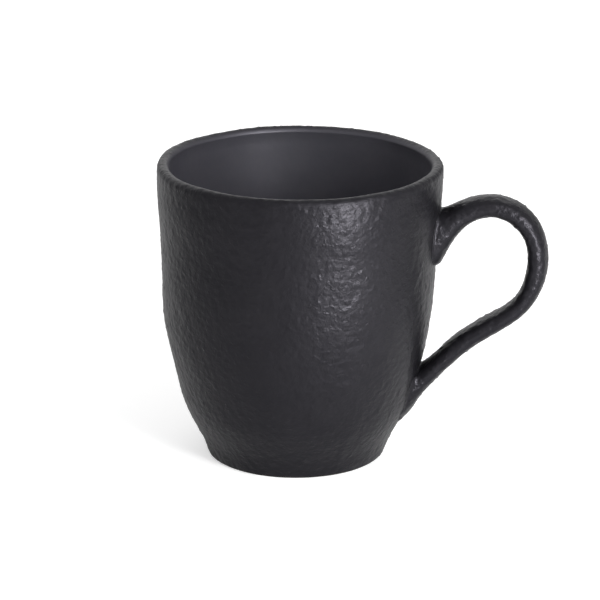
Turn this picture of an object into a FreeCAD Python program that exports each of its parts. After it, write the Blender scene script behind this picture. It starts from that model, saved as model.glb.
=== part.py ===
import FreeCAD, Part
import math
import os

# A stoneware mug with one loop handle, in millimetres. The origin is the middle of the foot, on the surface that
# the mug stands on; +Z is up and +X points to the handle. The sizes are those of the finished mug, over its coats,
# and the bare clay lies one coat's thickness inside them.

# Cup
HEIGHT = 94.0                 # table to the top of the lip
RIM_RADIUS = 44.0             # outside of the lip
LIP_THICKNESS = 3.7           # the lip is a full round of this thickness
LEAN = 1.3                    # how far the middle of the mouth has drifted towards the handle
COAT = 0.35                   # thickness of every glaze coat
FLOOR_HEIGHT = 7.0            # table to the inside floor
FLOOR_FLAT_RADIUS = 11.0      # flat middle of the inside floor
LIP_RADIUS = LIP_THICKNESS / 2
LIP_HEIGHT = HEIGHT - LIP_RADIUS

# Foot
FOOT_RADIUS = 26.3            # middle of the foot's rounded outer corner
FOOT_ROLL = 1.0               # rounding of that corner
FOOT_GRIND = 0.2              # clay ground off below the corner, which leaves the flat ring that the mug stands on
FOOT_SPLAY = math.radians(20) # how far the wall leans out where it leaves the foot
RECESS_RADIUS = 22.6          # inner edge of the flat ring
RECESS_DEPTH = 1.6            # height of the shallow hollow inside the ring
RECESS_DRAFT = 0.8            # how much narrower the hollow is at its top

# Outside of the wall between the foot and the lip, and inside of the wall from the lip to the floor: radius, height
OUTER_WALL = [(29.7, 6.0), (33.9, 14.0), (37.3, 24.0), (40.4, 38.0), (42.3, 56.0), (43.3, 76.0)]
INNER_WALL = [(39.4, 74.0), (38.2, 54.0), (35.9, 36.0), (31.6, 21.5), (24.0, 11.0)]

# Handle, from its upper root to its lower root: outer edge (x, z), inner edge (x, z) and half width of one section.
# The first and last sections lie inside the wall, which cuts them off.
HANDLE = [
    ((39.0, 79.6), (41.0, 63.4), 7.4),
    ((45.0, 80.8), (46.3, 66.0), 6.6),
    ((50.5, 83.1), (52.0, 74.9), 5.7),
    ((60.7, 85.6), (60.9, 79.0), 5.3),
    ((68.5, 83.6), (65.5, 77.8), 5.3),
    ((75.4, 77.3), (70.1, 73.6), 5.3),
    ((78.5, 66.0), (72.1, 66.2), 5.3),
    ((76.6, 56.2), (70.9, 58.2), 5.3),
    ((71.2, 48.0), (67.2, 51.8), 5.3),
    ((62.5, 41.5), (59.4, 46.6), 5.4),
    ((53.6, 35.1), (49.6, 39.5), 5.8),
    ((46.3, 28.0), (42.2, 32.2), 6.5),
    ((39.9, 20.7), (34.9, 26.8), 7.8),
    ((30.6, 9.4), (26.0, 22.2), 9.6),
]
SECTION_SQUARENESS = 2.4      # 2 is an ellipse, more is a rounder-cornered strap
SECTION_POINTS = 12
SLIP_THICKNESS = 0.8          # slip between the handle's ends and the wall


def on_meridian(radius, height):
    """A point of the cup's outline, on the side away from the handle."""
    return FreeCAD.Vector(-radius, 0, height)


def smooth_line(points, start, end, outward=0.0):
    """A smooth curve through points of an outline, moved sideways by outward, away from the clay's middle."""
    line = Part.BSplineCurve()
    line.interpolate(Points=points, InitialTangent=start, FinalTangent=end)
    if outward:
        moved = []
        for place in points:
            along = line.tangent(line.parameter(place))[0]
            moved.append(place + FreeCAD.Vector(-along.z, 0, along.x) * outward)
        line = Part.BSplineCurve()
        line.interpolate(Points=moved, InitialTangent=start, FinalTangent=end)
    return line.toShape()


def foot_corner():
    """The foot's rounded outer corner, as an edge from below the table plane to the wall, and its end point."""
    middle = on_meridian(FOOT_RADIUS, FOOT_ROLL - FOOT_GRIND)
    half_turn = (math.pi / 2 + FOOT_SPLAY) / 2
    halfway = middle + on_meridian(math.cos(half_turn), -math.sin(half_turn)) * FOOT_ROLL
    end = middle + on_meridian(math.cos(FOOT_SPLAY), -math.sin(FOOT_SPLAY)) * FOOT_ROLL
    return Part.Arc(on_meridian(FOOT_RADIUS, -FOOT_GRIND), halfway, end).toShape(), end


def outer_line(outward=0.0):
    """Outside of the wall from the foot to the lip; 0 is over the coat and -COAT is the bare clay."""
    clay_end = foot_corner()[1]
    foot_end = clay_end + on_meridian(math.cos(FOOT_SPLAY), -math.sin(FOOT_SPLAY)) * COAT
    points = [foot_end] + [on_meridian(*place) for place in OUTER_WALL] + [on_meridian(RIM_RADIUS, LIP_HEIGHT)]
    leaving_foot = on_meridian(math.sin(FOOT_SPLAY), math.cos(FOOT_SPLAY))
    return smooth_line(points, leaving_foot, FreeCAD.Vector(0, 0, 1), outward)


def inner_line(outward=0.0):
    """Inside of the wall from the lip to the flat floor; 0 is over the coat and -COAT is the bare clay."""
    points = [on_meridian(RIM_RADIUS - LIP_THICKNESS, LIP_HEIGHT)]
    points += [on_meridian(*place) for place in INNER_WALL]
    points += [on_meridian(FLOOR_FLAT_RADIUS, FLOOR_HEIGHT)]
    return smooth_line(points, FreeCAD.Vector(0, 0, -1), FreeCAD.Vector(1, 0, 0), outward)


def lip_line(radius):
    """The full round of the lip, from the outside to the inside."""
    middle = on_meridian(RIM_RADIUS - LIP_RADIUS, LIP_HEIGHT)
    outside = middle + on_meridian(radius, 0)
    top = middle + on_meridian(0, radius)
    inside = middle - on_meridian(radius, 0)
    return Part.Arc(outside, top, inside).toShape()


def straight(*points):
    """Straight edges through the points."""
    return [Part.makeLine(a, b) for a, b in zip(points, points[1:])]


def first_point(edge):
    return edge.valueAt(edge.FirstParameter)


def last_point(edge):
    return edge.valueAt(edge.LastParameter)


def turned(edges):
    """Spin a closed outline round the cup's axis in two half turns that lean towards the handle, and join them."""
    leaning = FreeCAD.Matrix()
    leaning.A13 = LEAN / HEIGHT
    axis_foot, up = FreeCAD.Vector(0, 0, 0), FreeCAD.Vector(0, 0, 1)
    halves = []
    for start in (90, -90):
        outline = Part.Face(Part.Wire(Part.__sortEdges__(edges)))
        outline.rotate(axis_foot, up, start)
        halves.append(outline.revolve(axis_foot, up, 180).transformGeometry(leaning))
    return halves[0].fuse(halves[1])


def wall_envelope(outward):
    """Everything inside the outside of the wall, which cuts the handle off where it meets the cup."""
    wall = outer_line(outward)
    bottom, top = first_point(wall), last_point(wall)
    axis_bottom = FreeCAD.Vector(0, 0, bottom.z)
    axis_top = FreeCAD.Vector(0, 0, top.z)
    return turned([wall] + straight(top, axis_top, axis_bottom, bottom))


def cup_body():
    """Bare clay of the cup, with a flat foot ring round a shallow hollow."""
    corner = foot_corner()[0]
    outside, lip, inside = outer_line(-COAT), lip_line(LIP_RADIUS - COAT), inner_line(-COAT)
    floor = last_point(inside)
    axis_floor = FreeCAD.Vector(0, 0, floor.z)
    underside = straight(floor, axis_floor, FreeCAD.Vector(0, 0, -FOOT_GRIND), first_point(corner))
    body = turned([corner, outside, lip, inside] + underside)
    side = 4 * RIM_RADIUS
    below_table = Part.makeBox(side, side, FOOT_ROLL, FreeCAD.Vector(-side / 2, -side / 2, -FOOT_ROLL))
    recess = Part.makeCone(RECESS_RADIUS, RECESS_RADIUS - RECESS_DRAFT, RECESS_DEPTH)
    return body.cut(below_table).cut(recess)


def liner_glaze():
    """Smooth coat on the floor and the inside of the wall, over the lip as far as its outer edge."""
    clay_lip, clay_inside = lip_line(LIP_RADIUS - COAT), inner_line(-COAT)
    lip, inside = lip_line(LIP_RADIUS), inner_line()
    edge = straight(first_point(clay_lip), first_point(lip))
    clay_floor, floor = last_point(clay_inside), last_point(inside)
    axis_clay, axis_floor = FreeCAD.Vector(0, 0, clay_floor.z), FreeCAD.Vector(0, 0, floor.z)
    return turned([clay_lip, clay_inside, lip, inside] + edge + straight(clay_floor, axis_clay, axis_floor, floor))


def wall_glaze():
    """Textured coat on the outside of the wall, from just above the foot to the lip."""
    clay, coat = outer_line(-COAT), outer_line()
    ends = straight(first_point(clay), first_point(coat)) + straight(last_point(clay), last_point(coat))
    return turned([clay, coat] + ends)


def handle_section(middle, half_thickness, half_width):
    """One closed section of the handle: a strap with well rounded corners. half_thickness points to its outer edge."""
    points = []
    for i in range(SECTION_POINTS):
        turn = 2 * math.pi * i / SECTION_POINTS
        thick = math.copysign(abs(math.cos(turn)) ** (2 / SECTION_SQUARENESS), math.cos(turn))
        wide = math.copysign(abs(math.sin(turn)) ** (2 / SECTION_SQUARENESS), math.sin(turn))
        points.append(middle + half_thickness * thick + FreeCAD.Vector(0, half_width * wide, 0))
    ring = Part.BSplineCurve()
    ring.interpolate(Points=points, PeriodicFlag=True, Parameters=[float(i) for i in range(SECTION_POINTS + 1)])
    return Part.Wire(ring.toShape())


def handle_sweep(outward):
    """The loop from inside the wall to inside the wall, with its skin moved out by outward."""
    sections = []
    for (outer_x, outer_z), (inner_x, inner_z), half_width in HANDLE:
        outer, inner = FreeCAD.Vector(outer_x, 0, outer_z), FreeCAD.Vector(inner_x, 0, inner_z)
        half_thickness = (outer - inner) / 2
        reach = 1 + outward / half_thickness.Length
        sections.append(handle_section((outer + inner) / 2, half_thickness * reach, half_width + outward))
    return Part.makeLoft(sections, True, False)


def build():
    """Every sub-part of the mug by name."""
    clay_wall = wall_envelope(-COAT)
    slip_wall = wall_envelope(-COAT + SLIP_THICKNESS)
    coated_wall = wall_envelope(0.0)
    clay_loop = handle_sweep(-COAT)
    coated_loop = handle_sweep(0.0)
    slip = sorted(clay_loop.common(slip_wall).cut(clay_wall).Solids, key=lambda solid: solid.CenterOfMass.z)
    return {
        "cup_body": cup_body(),
        "handle": clay_loop.cut(slip_wall),
        "upper_slip_joint": slip[-1],
        "lower_slip_joint": slip[0],
        "liner_glaze": liner_glaze(),
        "wall_glaze": wall_glaze().cut(clay_loop),
        "handle_glaze": coated_loop.cut(clay_loop).cut(coated_wall),
    }


def main():
    os.makedirs("parts", exist_ok=True)
    for name, shape in build().items():
        print(name, len(shape.Solids), "solid(s)", round(shape.Volume), "mm3", "valid" if shape.isValid() else "BAD")
        shape.exportStep(os.path.join("parts", name + ".step"))


main()
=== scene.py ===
import math

import bpy
import numpy as np
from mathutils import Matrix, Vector, noise
from mathutils.bvhtree import BVHTree


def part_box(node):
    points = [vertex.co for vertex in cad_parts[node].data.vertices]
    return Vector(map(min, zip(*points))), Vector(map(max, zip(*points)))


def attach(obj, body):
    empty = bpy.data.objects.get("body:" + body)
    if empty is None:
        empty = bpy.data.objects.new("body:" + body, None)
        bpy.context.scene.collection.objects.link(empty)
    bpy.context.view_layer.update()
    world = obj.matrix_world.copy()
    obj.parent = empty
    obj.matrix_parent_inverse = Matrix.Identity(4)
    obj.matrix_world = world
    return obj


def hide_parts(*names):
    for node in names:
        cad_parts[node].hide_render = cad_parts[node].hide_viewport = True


# A stoneware mug: matt and pebbled outside, satin inside, bare clay under the foot. Shapes are worked out in
# millimetres and turned into Blender's metres when a piece is added. The cup's outline, its lean and the
# handle are measured on the CAD nodes, and the coats are rebuilt over them with a relief made from noise.

MM = 0.001
FAR = 200.0                     # start of the measuring rays, well outside the mug

# Meshes
COLUMNS = 512                   # round the cup
WALL_ROWS, LIP_ROWS, LINER_ROWS = 150, 32, 62
BACK_STEP = 10                  # rows of the wall for each row of the coat's plain inner face
CLAY_COLUMNS, CLAY_STEP = 256, 2
VOXEL = 0.32                    # mesh size of the handle's coat
CORNER = math.radians(60)       # edges sharper than this stay sharp
LINING = "lining"               # share of the inside's finish at each point of the lining

# Hand-formed unevenness, shared by every piece
WOBBLE_SEED = 5
WOBBLE_DEPTH, WOBBLE_SIZE = 0.20, 17.0
WOBBLE_FULL = 12                # height above which the unevenness is at its full depth
PUSHES = [                      # direction round the axis in degrees, height, reach, outward push
    (165, 92, 16, 0.7),
    (188, 46, 9, 0.5),
    (188, 30, 8, -0.3),
    (5, 92, 12, 0.3),
]

# Relief of the outside coat
SWELL_SIZE, SWELL_DEPTH = 5.0, 0.09
PEBBLE_SIZE, PEBBLE_DEPTH, PEBBLE_SQUASH = 1.8, 0.12, 1.15
SPECK_SIZE, SPECK_DEPTH, SPECK_SHARE = 1.3, 0.45, 0.38
SPECK_SHIFT = Vector((7, 3, 5))             # keeps the specks apart from the pebbles
GLAZE_LINE_DEPTH, GLAZE_LINE_SIZE = 0.3, 9.0
GLAZE_LINE_REACH, GLAZE_LINE_RISE = 6, 0.8  # height over which the edge moves, and its mean rise

# The change from outside to inside over the lip: 0 is the lip's outer edge and 1 its inner edge
PEBBLE_LOSS, PEBBLE_FADE = 0.95, (0.3, 1.0)
LINING_FADE = (0.5, 1.0)

# Soft finger rings inside, and fine rings left by the turning tool underneath
THROW_STEP, THROW_DEPTH = 5.5, 0.030
THROW_DRIFT, THROW_DRIFT_SIZE = 2, 20
TURNING_DEPTH, TURNING_PITCH = 0.03, 3.4
TURNING_DRIFT, TURNING_DRIFT_SIZE = 1.5, 6

# Fillets where the handle's coat runs out on to the wall: at its sides, and the share of that above and below
UPPER_FILLET, LOWER_FILLET = 0.9, 1.8
FILLET_ABOVE, FILLET_BELOW = 0.35, 0.08
END_MATCH = 0.06                # a handle face whose corners are all this near to its end is on that end

# Camera: a long lens a little over a metre away, turned towards the handle's side
AZIMUTH, ELEVATION = math.radians(8.0), math.radians(17.95)
DISTANCE, LENS = 1.1634, 223.7
AIM_RIGHT, AIM_UP = 0.00126, 0.00201

noise.seed_set(WOBBLE_SEED)     # noise_vector starts from the clock without it
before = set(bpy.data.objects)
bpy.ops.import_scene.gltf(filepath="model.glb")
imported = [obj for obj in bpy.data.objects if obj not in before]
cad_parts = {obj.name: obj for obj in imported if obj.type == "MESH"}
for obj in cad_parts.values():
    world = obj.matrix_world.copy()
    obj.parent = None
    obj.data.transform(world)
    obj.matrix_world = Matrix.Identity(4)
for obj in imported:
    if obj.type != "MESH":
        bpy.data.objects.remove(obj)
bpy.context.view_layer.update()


# ---------------------------------------------------------------- measuring the CAD

def cad_surface(*nodes):
    """CAD nodes as one tree for ray casts and nearest points."""
    points, faces = [], []
    for name in nodes:
        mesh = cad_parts[name].data
        faces += [[len(points) + i for i in face.vertices] for face in mesh.polygons]
        points += [vertex.co / MM for vertex in mesh.vertices]
    return BVHTree.FromPolygons(points, faces)


def cast(tree, start, direction):
    return tree.ray_cast(Vector(start), Vector(direction))[0]


def fitted(places, values, order):
    """A smooth function through measured values, which evens out the facets of the CAD mesh."""
    return np.polynomial.chebyshev.Chebyshev.fit(places, values, order)


def measured_lean(tree, height):
    """How far the cup's axis moves towards +X for each unit of height."""
    left = cast(tree, (-FAR, 0, height), (1, 0, 0)).x
    near = cast(tree, (0, -FAR, height), (0, 1, 0)).y
    return (left * left - near * near) / (2 * left) / height


def measured_wall(tree, low, high):
    """Outside radius of the wall as a function of height."""
    heights = np.linspace(low + 0.03, high - 0.03, 300)
    radii = [LEAN * z - cast(tree, (-FAR, 0, z), (1, 0, 0)).x for z in heights]
    return fitted(heights, radii, 15)


def measured_liner(tree, hub, top):
    """Distance of the lining from the hub on the axis, as a function of the angle above the horizon."""
    angles = np.linspace(-math.pi / 2, top, 300)
    reach = []
    for angle in angles:
        way = Vector((-math.cos(angle) + LEAN * math.sin(angle), 0, math.sin(angle)))
        place = cast(tree, (LEAN * hub, 0, hub), way)
        reach.append((place.z - hub) / way.z if abs(way.z) > 0.5 else (LEAN * hub - place.x) / -way.x)
    return fitted(angles, reach, 22)


wall_tree = cad_surface("wall_glaze")
liner_tree = cad_surface("liner_glaze")
clay_tree = cad_surface("cup_body")
WALL_LOW, LIP_MIDDLE = (corner.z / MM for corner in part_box("wall_glaze"))
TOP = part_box("liner_glaze")[1].z / MM
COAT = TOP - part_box("cup_body")[1].z / MM
LIP_RADIUS = TOP - LIP_MIDDLE
LEAN = measured_lean(wall_tree, LIP_MIDDLE - 1)
wall_radius = measured_wall(wall_tree, WALL_LOW, LIP_MIDDLE)
wall_slope = wall_radius.deriv()
RIM = float(wall_radius(LIP_MIDDLE))


# ---------------------------------------------------------------- outline of the cup's skin

def wall_rows():
    heights = np.linspace(WALL_LOW, LIP_MIDDLE, WALL_ROWS)
    return np.column_stack([wall_radius(heights), heights])


def lip_rows():
    turn = np.linspace(0, math.pi, LIP_ROWS)[1:-1]
    middle = RIM - LIP_RADIUS
    return np.column_stack([middle + LIP_RADIUS * np.cos(turn), LIP_MIDDLE + LIP_RADIUS * np.sin(turn)])


def liner_rows():
    """Inside of the cup from the lip down to the middle of the floor."""
    hub = LIP_MIDDLE / 2
    top = math.atan2(LIP_MIDDLE - hub, RIM - 2 * LIP_RADIUS)
    reach = measured_liner(liner_tree, hub, top)
    angles = np.linspace(top, -math.pi / 2, LINER_ROWS)
    rows = np.column_stack([reach(angles) * np.cos(angles), hub + reach(angles) * np.sin(angles)])
    rows[-1, 0] = 0
    return rows


def row_normals(rows):
    """Unit normals of an outline that runs up the outside and down the inside."""
    along = np.gradient(rows, axis=0)
    normals = np.column_stack([along[:, 1], -along[:, 0]])
    return normals / np.linalg.norm(normals, axis=1)[:, None]


SKIN = np.concatenate([wall_rows(), lip_rows(), liner_rows()])
SKIN_NORMALS = row_normals(SKIN)
SKIN_NORMALS[-1] = (0, 1)
UNDER_SKIN = SKIN - SKIN_NORMALS * COAT


# ---------------------------------------------------------------- relief

def push_places():
    """Middle, outward direction, reach and push of each place where the wall was pressed or drawn out."""
    for degrees, height, reach, push in PUSHES:
        out = Vector((math.cos(math.radians(degrees)), math.sin(math.radians(degrees)), 0))
        yield out * wall_radius(height) + Vector((LEAN * height, 0, height)), out, reach, push


PUSH_PLACES = list(push_places())


def wobble(place):
    """Shift of a point by the cup's hand-formed unevenness, which dies out at the foot."""
    place = Vector(place)
    shift = noise.noise_vector(place / WOBBLE_SIZE) * WOBBLE_DEPTH
    for middle, out, reach, push in PUSH_PLACES:
        shift += out * push * math.exp(-(place - middle).length_squared / reach ** 2)
    return shift * min(1.0, max(0.0, place.z / WOBBLE_FULL))


def pebbles(place):
    """Height of the pebbled relief at a point."""
    flat = Vector((place[0], place[1], place[2] * PEBBLE_SQUASH))
    swell = noise.noise(Vector(place) / SWELL_SIZE) * SWELL_DEPTH
    pebble = noise.noise(flat / PEBBLE_SIZE) * PEBBLE_DEPTH
    speck = max(0.0, noise.noise(flat / SPECK_SIZE + SPECK_SHIFT) - SPECK_SHARE) * SPECK_DEPTH
    return swell + pebble + speck


def throwing_rings(place):
    """Height of the soft rings that a thrower's finger leaves inside."""
    drift = noise.noise(Vector(place) / THROW_DRIFT_SIZE) * THROW_DRIFT
    return math.sin((place[2] + drift) / THROW_STEP * 2 * math.pi) * THROW_DEPTH


def displaced(points, normals, pebble_share, ring_share):
    """Points moved by the wobble, and along their normals by the relief."""
    moved = points.copy()
    for i, place in enumerate(points):
        height = 0.0
        if pebble_share[i] > 0:
            height += pebbles(place) * pebble_share[i]
        if ring_share[i] > 0:
            height += throwing_rings(place) * ring_share[i]
        moved[i] += normals[i] * height
        moved[i] += wobble(place)
    return moved


# ---------------------------------------------------------------- meshes

def spun(rows, columns):
    """Points of an outline spun round the leaning axis, row after row."""
    turn = np.linspace(0, 2 * math.pi, columns, endpoint=False)
    radius, height = rows[:, :1], rows[:, 1:]
    x = LEAN * height + radius * np.cos(turn)
    y = radius * np.sin(turn)
    return np.stack([x, y, np.broadcast_to(height, x.shape)], axis=2).reshape(-1, 3)


def spun_normals(normals, columns):
    turn = np.linspace(0, 2 * math.pi, columns, endpoint=False)
    across, up = normals[:, :1], normals[:, 1:]
    return np.stack([across * np.cos(turn), across * np.sin(turn), np.broadcast_to(up, (len(up), columns))],
                    axis=2).reshape(-1, 3)


def band_faces(rows, columns, ring):
    """Quads between neighbouring rows; ring joins the last row to the first."""
    faces = []
    for i in range(rows if ring else rows - 1):
        low, high = i * columns, (i + 1) % rows * columns
        for j in range(columns):
            after = (j + 1) % columns
            faces.append((low + j, low + after, high + after, high + j))
    return faces


def closed_on_axis(points, rows, columns):
    """Points and faces of a spun outline whose end rows are on the axis and become one point each."""
    faces = band_faces(rows, columns, False)
    body = points[columns:-columns]
    first, last = len(body), len(body) + 1
    names = [first] * columns + list(range(len(body))) + [last] * columns
    kept = [tuple(dict.fromkeys(names[i] for i in face)) for face in faces]
    return np.concatenate([body, points[:1], points[-1:]]), kept


def add_piece(name, points, faces, material, nodes):
    """A smooth shaded mesh that rides on the mug and stands for CAD nodes."""
    mesh = bpy.data.meshes.new(name)
    mesh.from_pydata((points * MM).tolist(), [], faces)
    mesh.validate()
    mesh.shade_smooth()
    mesh.set_sharp_from_angle(angle=CORNER)
    piece = bpy.data.objects.new(name, mesh)
    bpy.context.scene.collection.objects.link(piece)
    mesh.materials.append(material)
    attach(piece, "root")
    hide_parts(*nodes)
    return piece


# ---------------------------------------------------------------- coats and clay of the cup

def wall_coat(material):
    """Outside coat: the wall's rows, and a plain inner face on the clay."""
    back = UNDER_SKIN[WALL_ROWS - 1::-BACK_STEP]
    if back[-1, 1] > UNDER_SKIN[0, 1] + 1e-6:
        back = np.concatenate([back, UNDER_SKIN[:1]])
    rows = np.concatenate([SKIN[:WALL_ROWS], back])
    normals = np.concatenate([SKIN_NORMALS[:WALL_ROWS], np.tile((1.0, 0.0), (len(back), 1))])
    points, directions = spun(rows, COLUMNS), spun_normals(normals, COLUMNS)
    points = with_glaze_line(points)
    share = np.repeat(np.arange(len(rows)) < WALL_ROWS, COLUMNS).astype(float)
    points = displaced(points, directions, share, share * 0)
    return add_piece("wall_coat", points, band_faces(len(rows), COLUMNS, True), material,
                     ["wall_glaze"])


def with_glaze_line(points):
    """The coat's lower edge wanders up and down the foot."""
    moved = points.copy()
    for i, (x, y, z) in enumerate(points):
        near = max(0.0, 1 - (z - WALL_LOW) / GLAZE_LINE_REACH)
        if near > 0:
            drift = noise.noise(Vector((x, y, 0)) / GLAZE_LINE_SIZE)
            rise = near * GLAZE_LINE_DEPTH * (GLAZE_LINE_RISE + drift)
            grown = 1 + rise * wall_slope(z) / wall_radius(z)
            moved[i] = (x * grown, y * grown, z + rise)
    return moved


def liner_coat(material):
    """Lining from the outer edge of the lip to the floor; the pebbles fade out over the lip."""
    face, face_normals = SKIN[WALL_ROWS - 1:], SKIN_NORMALS[WALL_ROWS - 1:]
    under = UNDER_SKIN[WALL_ROWS - 1:][::-1]
    rows = np.concatenate([under, face])
    normals = np.concatenate([np.tile((1.0, 0.0), (len(under), 1)), face_normals])
    lip = np.clip((np.arange(len(face)) / (LIP_ROWS - 1)), 0, 1)
    pebble = np.concatenate([np.zeros(len(under)), 1 - PEBBLE_LOSS * smooth_step(*PEBBLE_FADE, lip)])
    ring = np.concatenate([np.zeros(len(under)), np.where(lip >= 1, 1.0, 0.0)])
    points, directions = spun(rows, COLUMNS), spun_normals(normals, COLUMNS)
    points = displaced(points, directions, np.repeat(pebble, COLUMNS), np.repeat(ring, COLUMNS))
    points, faces = closed_on_axis(points, len(rows), COLUMNS)
    piece = add_piece("liner_coat", points, faces, material, ["liner_glaze"])
    inside = np.repeat(np.concatenate([np.zeros(len(under)), smooth_step(*LINING_FADE, lip)]), COLUMNS)
    inside = np.concatenate([inside[COLUMNS:-COLUMNS], inside[:1], inside[-1:]])
    piece.data.attributes.new(LINING, "FLOAT", "POINT").data.foreach_set("value", inside)
    return piece


def foot_rows():
    """Underside from the middle of the recess, over its edge and the flat ring, to the coat's lower edge."""
    hollow_top = cast(clay_tree, (0, 0, -FAR), (0, 0, 1)).z
    low = -cast(clay_tree, (0, 0, hollow_top * 0.1), (-1, 0, 0)).x
    high = -cast(clay_tree, (0, 0, hollow_top * 0.9), (-1, 0, 0)).x
    heights = np.linspace(0.02, UNDER_SKIN[0, 1] - 0.05, 8)
    corner = [(LEAN * z - cast(clay_tree, (-FAR, 0, z), (1, 0, 0)).x, z) for z in heights]
    inner = [(radius, hollow_top) for radius in np.linspace(0, high - 0.5, 40)]
    edge = [(high - 0.1, hollow_top - 0.1), (high + 0.1, hollow_top - 0.4)]
    edge += [(low - 0.1, 0.4), (low, 0.12), (low + 0.15, 0)]
    flat = [(radius, 0) for radius in np.linspace(low + 0.4, corner[0][0] - 0.2, 10)]
    return np.array(inner + edge + flat + corner)


def turning_marks(points, rows_under):
    """Fine rings cut into the underside by the turning tool."""
    moved = points.copy()
    for i, (x, y, z) in enumerate(points[:rows_under]):
        radius = math.hypot(x, y)
        drift = noise.noise(Vector((x, y, 0)) / TURNING_DRIFT_SIZE) * TURNING_DRIFT
        ripple = math.sin(radius * TURNING_PITCH + drift)
        moved[i, 2] += max(0.0, TURNING_DEPTH + TURNING_DEPTH * ripple) * min(1.0, radius / 2)
    return moved


def clay_cup(material):
    """Bare clay, seen on the underside and at the foot ring."""
    foot, body = foot_rows(), np.concatenate([UNDER_SKIN[:-1:CLAY_STEP], UNDER_SKIN[-1:]])
    rows = np.concatenate([foot, body])
    points = spun(rows, CLAY_COLUMNS)
    points = turning_marks(points, len(foot) * CLAY_COLUMNS)
    points = np.array([place + np.array(wobble(place)) for place in points])
    points, faces = closed_on_axis(points, len(rows), CLAY_COLUMNS)
    return add_piece("clay_cup", points, faces, material, ["cup_body"])


# ---------------------------------------------------------------- coat of the handle

def above_wall(points):
    """Distance of points from the coated wall, and the wall's normals there."""
    x, y, z = points.T
    height = np.clip(z, WALL_LOW, LIP_MIDDLE)
    across = np.stack([x - LEAN * height, y], axis=1)
    radius = np.linalg.norm(across, axis=1)
    slope = wall_slope(height)
    tilt = 1 / np.sqrt(1 + slope ** 2)
    normals = np.column_stack([across / radius[:, None] * tilt[:, None], -slope * tilt])
    return (radius - wall_radius(height)) * tilt, normals


def handle_core():
    """The CAD handle and its slip joints as one skin, without the faces that they share."""
    points, faces = [], []
    for name in ("handle", "upper_slip_joint", "lower_slip_joint"):
        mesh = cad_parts[name].data
        places = np.array([vertex.co / MM for vertex in mesh.vertices])
        shared = above_wall(places)[0]
        end = shared.min() if name == "handle" else shared.max()
        on_end = np.abs(shared - end) < END_MATCH
        for face in mesh.polygons:
            if not all(on_end[i] for i in face.vertices):
                faces.append([len(points) + i for i in face.vertices])
        points += places.tolist()
    return points, faces


def remeshed(points, faces):
    """An even, closed mesh over loose faces."""
    mesh = bpy.data.meshes.new("core")
    mesh.from_pydata(points, [], faces)
    core = bpy.data.objects.new("core", mesh)
    bpy.context.scene.collection.objects.link(core)
    even = core.modifiers.new("even", "REMESH")
    even.mode, even.voxel_size = "VOXEL", VOXEL
    made = bpy.data.meshes.new_from_object(core.evaluated_get(bpy.context.evaluated_depsgraph_get()))
    bpy.data.objects.remove(core)
    return made


def smooth_step(low, high, value):
    t = np.clip((value - low) / (high - low), 0, 1)
    return t * t * (3 - 2 * t)


def mesh_points(mesh):
    flat = np.zeros(len(mesh.vertices) * 3)
    mesh.vertices.foreach_get("co", flat)
    return flat.reshape(-1, 3)


def mesh_normals(mesh):
    flat = np.zeros(len(mesh.vertices) * 3)
    mesh.vertex_normals.foreach_get("vector", flat)
    return flat.reshape(-1, 3)


def set_points(mesh, points):
    mesh.vertices.foreach_set("co", points.astype(np.float32).ravel())
    mesh.update()


def eased(mesh, points, rounds):
    """Points drawn towards the middle of their neighbours."""
    pairs = np.zeros(len(mesh.edges) * 2, int)
    mesh.edges.foreach_get("vertices", pairs)
    a, b = pairs.reshape(-1, 2).T
    count = np.bincount(pairs, minlength=len(points))[:, None]
    for _ in range(rounds):
        total = np.zeros_like(points)
        np.add.at(total, a, points[b])
        np.add.at(total, b, points[a])
        points = points * 0.5 + total / count * 0.5
    return points


def on_core(mesh, points, faces):
    """The remeshed points laid back on to the measured skin, and eased."""
    tree = BVHTree.FromPolygons([Vector(place) for place in points], faces)
    laid = mesh_points(mesh)
    height = above_wall(laid)[0]
    for i, place in enumerate(laid):
        if height[i] > -COAT * 0.7:
            laid[i] = tree.find_nearest(Vector(place))[0]
    return eased(mesh, laid, 4)


def with_fillet(points, normals):
    """The coat runs out on to the wall in a hollow curve."""
    height, up = above_wall(points)
    middle = LIP_MIDDLE / 2
    size = np.where(points[:, 2] > middle, UPPER_FILLET, LOWER_FILLET)
    facing = np.sum(normals * up, axis=1)
    away = normals - facing[:, None] * up
    length = np.linalg.norm(away, axis=1)
    away /= np.maximum(length, 1e-6)[:, None]
    share = np.clip(1 - np.maximum(facing, 0), 0, 1) * smooth_step(0.15, 0.45, length)
    in_plane = np.where(away[:, 2] > 0, FILLET_ABOVE, FILLET_BELOW)
    share *= in_plane + (1 - in_plane) * smooth_step(0.6, 0.95, np.abs(away[:, 1]))
    size = np.maximum(size * share, 1e-3)
    turn = np.pi / 2 * np.clip(1 - height / size, 0, 1)
    out = size * (1 - np.cos(turn))
    lifted = np.where(height < size, size * (1 - np.sin(turn)), height)
    lifted = np.where(height < 0, height * 0.6, lifted)
    return points + away * out[:, None] + up * (lifted - height)[:, None]


def handle_coat(material):
    """The handle's coat over the clay core, filleted into the wall."""
    points, faces = handle_core()
    mesh = remeshed(points, faces)
    laid = on_core(mesh, points, faces)
    set_points(mesh, laid)
    grown = laid + mesh_normals(mesh) * COAT
    set_points(mesh, grown)
    filleted = with_fillet(grown, mesh_normals(mesh))
    filleted = eased(mesh, filleted, 2)
    set_points(mesh, filleted)
    normals = mesh_normals(mesh)
    height = above_wall(filleted)[0]
    share = np.where(height > -0.05, 1.0, 0.0)
    final = displaced(filleted, normals, share, share * 0)
    quads = [tuple(face.vertices) for face in mesh.polygons]
    bpy.data.meshes.remove(mesh)
    return add_piece("handle_coat", final, quads, material, ["handle_glaze"])


# ---------------------------------------------------------------- materials

GLAZE_TINT = (0.92, 0.89, 1.0, 1)           # the glaze's shine is faintly violet


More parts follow.
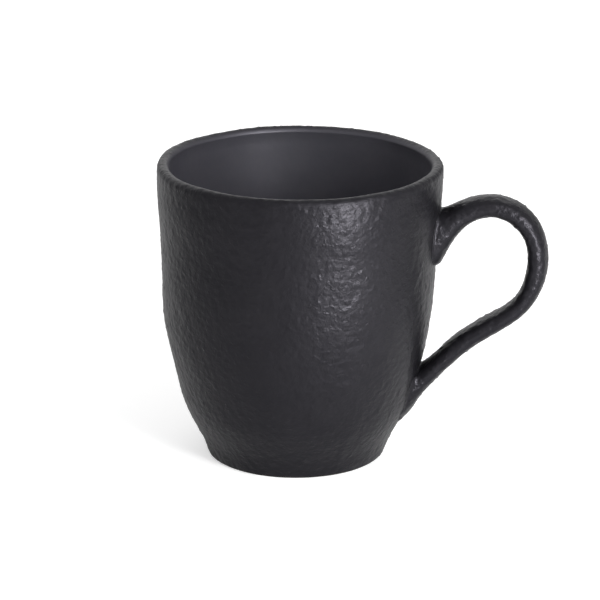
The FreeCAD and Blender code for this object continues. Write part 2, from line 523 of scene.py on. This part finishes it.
def add_node(tree, kind, settings=None, **inputs):
    """A shader node with its settings, and its inputs set or linked by name."""
    made = tree.nodes.new(kind)
    for name, value in (settings or {}).items():
        setattr(made, name, value)
    for name, value in inputs.items():
        socket = made.inputs[name.replace("_", " ")]
        if isinstance(value, bpy.types.NodeSocket):
            tree.links.new(value, socket)
        else:
            socket.default_value = value
    return made


def noise_field(tree, place, size, detail=2.0, rough=0.5):
    """Noise from 0 to 1 whose features are about size millimetres."""
    made = add_node(tree, "ShaderNodeTexNoise", Vector=place, Scale=1 / (size * MM), Detail=detail,
                    Roughness=rough)
    return made.outputs["Fac"]


def mapped(tree, value, low, high, to_low, to_high):
    made = add_node(tree, "ShaderNodeMapRange", Value=value, From_Min=low, From_Max=high,
                    To_Min=to_low, To_Max=to_high)
    return made.outputs["Result"]


def mixed(tree, share, first, second):
    made = add_node(tree, "ShaderNodeMix", {"data_type": "RGBA"})
    tree.links.new(share, made.inputs[0])
    for socket, value in ((made.inputs[6], first), (made.inputs[7], second)):
        if isinstance(value, bpy.types.NodeSocket):
            tree.links.new(value, socket)
        else:
            socket.default_value = value
    return made.outputs[2]


def summed(tree, terms):
    """Sum of (value, factor) pairs."""
    total = None
    for value, factor in terms:
        made = add_node(tree, "ShaderNodeMath", {"operation": "MULTIPLY_ADD"})
        tree.links.new(value, made.inputs[0])
        made.inputs[1].default_value = factor
        if total is None:
            made.inputs[2].default_value = 0
        else:
            tree.links.new(total, made.inputs[2])
        total = made.outputs[0]
    return total


def start_material(name):
    material = bpy.data.materials.new(name)
    material.use_nodes = True
    tree = material.node_tree
    shader = tree.nodes["Principled BSDF"]
    place = add_node(tree, "ShaderNodeTexCoord").outputs["Object"]
    return material, tree, shader, place


def grey(value, blue=1.0, red=1.0):
    return (value * red, value, value * blue, 1)


def glaze_colour(tree, place, finish):
    """Mottled colour of a glaze."""
    cloud = noise_field(tree, place, 14, 3, 0.55)
    mottle = noise_field(tree, place, 2.2, 3, 0.6)
    tone = summed(tree, [(cloud, 0.6), (mottle, 0.4)])
    colour = mixed(tree, mapped(tree, tone, 0.35, 0.65, 0, 1), finish["dark"], finish["light"])
    speck = mapped(tree, noise_field(tree, place, 0.9, 1), 0.70, 0.78, 0, finish["speckle"])
    return mixed(tree, speck, colour, finish["mineral"])


def glaze_grain(tree, place, finish):
    """Height of the grain that is too fine for the mesh, in metres."""
    fine = noise_field(tree, place, finish["grain"], 2, 0.5)
    finer = noise_field(tree, place, finish["grain"] * 0.45, 2, 0.5)
    grit = mapped(tree, noise_field(tree, place, finish["grain"] * 0.8, 1), 0.60, 0.76, 0, 1)
    depth = finish["depth"] * MM
    return summed(tree, [(fine, depth * 0.7), (finer, depth * 0.06), (grit, depth * 0.18)])


def glaze_material(name, finish, over_lip=None):
    """Stoneware glaze; over_lip is the finish that it turns into across the lip."""
    material, tree, shader, place = start_material(name)
    colour, grain = glaze_colour(tree, place, finish), glaze_grain(tree, place, finish)
    if over_lip:
        inside = add_node(tree, "ShaderNodeAttribute", {"attribute_name": LINING}).outputs["Fac"]
        colour = mixed(tree, inside, glaze_colour(tree, place, over_lip), colour)
        outside = mapped(tree, inside, 0, 1, 1, 0)
        coarse = add_node(tree, "ShaderNodeMath", {"operation": "MULTIPLY"})
        tree.links.new(glaze_grain(tree, place, over_lip), coarse.inputs[0])
        tree.links.new(outside, coarse.inputs[1])
        grain = summed(tree, [(grain, 1.0), (coarse.outputs[0], 1.0)])
    tree.links.new(colour, shader.inputs["Base Color"])
    sheen = summed(tree, [(noise_field(tree, place, 5, 2), 0.6), (noise_field(tree, place, 1.1, 2), 0.4)])
    tree.links.new(mapped(tree, sheen, 0.3, 0.7, *finish["rough"]), shader.inputs["Roughness"])
    bump = add_node(tree, "ShaderNodeBump", Height=grain, Distance=1.0, Strength=1.0)
    tree.links.new(bump.outputs["Normal"], shader.inputs["Normal"])
    shader.inputs["Specular IOR Level"].default_value = finish["specular"]
    if over_lip:
        shine = mapped(tree, inside, 0, 1, over_lip["specular"], finish["specular"])
        tree.links.new(shine, shader.inputs["Specular IOR Level"])
    shader.inputs["Specular Tint"].default_value = GLAZE_TINT
    return material


def clay_material(name, dark, light, roughness_low, roughness_high):
    """Dry fired clay: sandy grain, small pits and darker grit."""
    material, tree, shader, place = start_material(name)
    cloud = noise_field(tree, place, 8, 4, 0.6)
    colour = mixed(tree, mapped(tree, cloud, 0.3, 0.7, 0, 1), dark, light)
    grit = mapped(tree, noise_field(tree, place, 0.7, 1), 0.66, 0.74, 0, 0.8)
    colour = mixed(tree, grit, colour, grey(0.008))
    tree.links.new(colour, shader.inputs["Base Color"])
    sand = noise_field(tree, place, 0.5, 3, 0.7)
    tree.links.new(mapped(tree, sand, 0.3, 0.7, roughness_low, roughness_high), shader.inputs["Roughness"])
    bump = add_node(tree, "ShaderNodeBump", Height=sand, Distance=0.08 * MM, Strength=1.0)
    tree.links.new(bump.outputs["Normal"], shader.inputs["Normal"])
    shader.inputs["Specular IOR Level"].default_value = 0.3
    return material


# ---------------------------------------------------------------- studio

FLOOR_RADIUS, COVE_RADIUS = 2.2, 0.9
FLOOR_RINGS, COVE_STEPS, FLOOR_COLUMNS = (0.0, 0.2, 0.8), 12, 96
FLOOR_GLOW = 0.45
FLOOR_CLOUD = 300
CENTRE = Vector((0, 0, TOP * MM / 2))
WORLD_STRENGTH = 0.6
LAMPS = [       # name, azimuth from the camera's, elevation, distance, width, height, watts
    ("low_near", 32, 12, 0.42, 0.10, 0.22, 1.5),
    ("low_side", 44, 10, 0.42, 0.12, 0.22, 0.2),
    ("low_close", 34, 0, 0.26, 0.05, 0.07, 0.25),
    ("key_side", 58, 30, 0.8, 0.22, 0.5, 0.4),
    ("key_high", 34, 45, 1.4, 0.5, 0.5, 2.3),
    ("front", 0, 35, 1.6, 1.2, 1.0, 2.3),
    ("back_left", -130, 24, 1.2, 0.7, 0.9, 0.9),
    ("edge_left", -157, 24, 1.2, 0.5, 0.9, 0.35),
    ("edge_right", 150, 34, 1.1, 0.6, 0.6, 0.2),
    ("back_low", 180, 16, 1.8, 1.2, 0.5, 2.0),
    ("back_top", 180, 50, 1.2, 1.4, 0.8, 1.9),
]


def floor_material():
    """White backdrop with a glow that only the camera sees, so that it does not light the mug."""
    material, tree, shader, place = start_material("pale_floor")
    cloud = noise_field(tree, place, FLOOR_CLOUD, 3)
    tree.links.new(mixed(tree, cloud, grey(0.80), grey(0.82)), shader.inputs["Base Color"])
    seen = add_node(tree, "ShaderNodeLightPath").outputs["Is Camera Ray"]
    tree.links.new(mapped(tree, seen, 0, 1, 0, FLOOR_GLOW), shader.inputs["Emission Strength"])
    shader.inputs["Emission Color"].default_value = grey(1.0)
    shader.inputs["Roughness"].default_value = 0.9
    shader.inputs["Specular IOR Level"].default_value = 0.1
    return material


def studio_floor():
    """A pale round floor whose edge curves up into a low wall."""
    turn = np.linspace(0, math.pi / 2, COVE_STEPS)
    rows = [(radius, 0.0) for radius in FLOOR_RINGS]
    rows += [(FLOOR_RADIUS + COVE_RADIUS * math.sin(t), COVE_RADIUS * (1 - math.cos(t))) for t in turn]
    points = []
    for radius, height in rows:
        for j in range(FLOOR_COLUMNS):
            angle = 2 * math.pi * j / FLOOR_COLUMNS
            points.append((radius * math.cos(angle), radius * math.sin(angle), height))
    faces = [face[::-1] for face in band_faces(len(rows), FLOOR_COLUMNS, False)]
    mesh = bpy.data.meshes.new("studio_floor")
    mesh.from_pydata(points, [], faces)
    mesh.validate()
    mesh.shade_smooth()
    floor = bpy.data.objects.new("studio_floor", mesh)
    bpy.context.scene.collection.objects.link(floor)
    mesh.materials.append(floor_material())


def way_to(azimuth, elevation):
    """Unit vector from the mug to an azimuth and elevation; azimuth 0 is -Y and 90 is +X."""
    return Vector((math.sin(azimuth) * math.cos(elevation), -math.cos(azimuth) * math.cos(elevation),
                   math.sin(elevation)))


def softbox(name, azimuth, elevation, distance, width, height, watts):
    """A rectangular softbox aimed at the middle of the mug; its azimuth counts from the camera's."""
    light = bpy.data.lights.new(name, "AREA")
    light.shape = "RECTANGLE"
    light.size, light.size_y = width, height
    light.energy = watts
    lamp = bpy.data.objects.new(name, light)
    bpy.context.scene.collection.objects.link(lamp)
    away = way_to(AZIMUTH + math.radians(azimuth), math.radians(elevation))
    lamp.location = CENTRE + away * distance
    lamp.rotation_mode = "QUATERNION"
    lamp.rotation_quaternion = (-away).to_track_quat("-Z", "Y")
    lamp.visible_camera = False


def studio_world():
    """An even white surround."""
    world = bpy.data.worlds.new("studio")
    world.use_nodes = True
    background = world.node_tree.nodes["Background"]
    background.inputs["Color"].default_value = (1, 1, 1, 1)
    background.inputs["Strength"].default_value = WORLD_STRENGTH
    bpy.context.scene.world = world


def studio_camera():
    data = bpy.data.cameras.new("camera")
    data.lens = LENS
    camera = bpy.data.objects.new("camera", data)
    bpy.context.scene.collection.objects.link(camera)
    back = way_to(AZIMUTH, ELEVATION)
    right = Vector((math.cos(AZIMUTH), math.sin(AZIMUTH), 0))
    up = back.cross(right)
    camera.location = CENTRE + back * DISTANCE
    aim = CENTRE + right * AIM_RIGHT + up * AIM_UP
    camera.rotation_mode = "QUATERNION"
    camera.rotation_quaternion = (aim - camera.location).to_track_quat("-Z", "Y")
    bpy.context.scene.camera = camera


# ---------------------------------------------------------------- the mug and its studio

# Finishes of the glaze: dark and light mottle, colour and share of its specks, least and most roughness, size
# and depth of the grain in millimetres, and strength of the shine
OUTSIDE = {
    "dark": grey(0.0048, 1.25, 1.04),
    "light": grey(0.0075, 1.18, 1.04),
    "mineral": grey(0.03),
    "speckle": 0.12,
    "rough": (0.31, 0.39),
    "grain": 1.7,
    "depth": 0.32,
    "specular": 0.22,
}
INSIDE = {
    "dark": grey(0.042, 1.22, 1.02),
    "light": grey(0.050, 1.16, 1.02),
    "mineral": grey(0.08),
    "speckle": 0.15,
    "rough": (0.38, 0.46),
    "grain": 1.6,
    "depth": 0.03,
    "specular": 0.75,
}
PEBBLED = glaze_material("pebbled_glaze", OUTSIDE)
SATIN = glaze_material("satin_glaze", INSIDE, OUTSIDE)
CLAY = clay_material("bare_stoneware", grey(0.016, 0.92, 1.08), grey(0.028, 0.92, 1.08), 0.8, 0.95)
SLIP = clay_material("slip", grey(0.015, 0.94, 1.05), grey(0.024, 0.94, 1.05), 0.8, 0.95)

wall_coat(PEBBLED)
liner_coat(SATIN)
clay_cup(CLAY)
handle_coat(PEBBLED)
for node_name, finish in (("handle", CLAY), ("upper_slip_joint", SLIP), ("lower_slip_joint", SLIP)):
    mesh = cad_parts[node_name].data
    mesh.materials.clear()
    mesh.materials.append(finish)

studio_floor()
for lamp_settings in LAMPS:
    softbox(*lamp_settings)
studio_world()
studio_camera()
bpy.context.scene.view_settings.view_transform = "Standard"
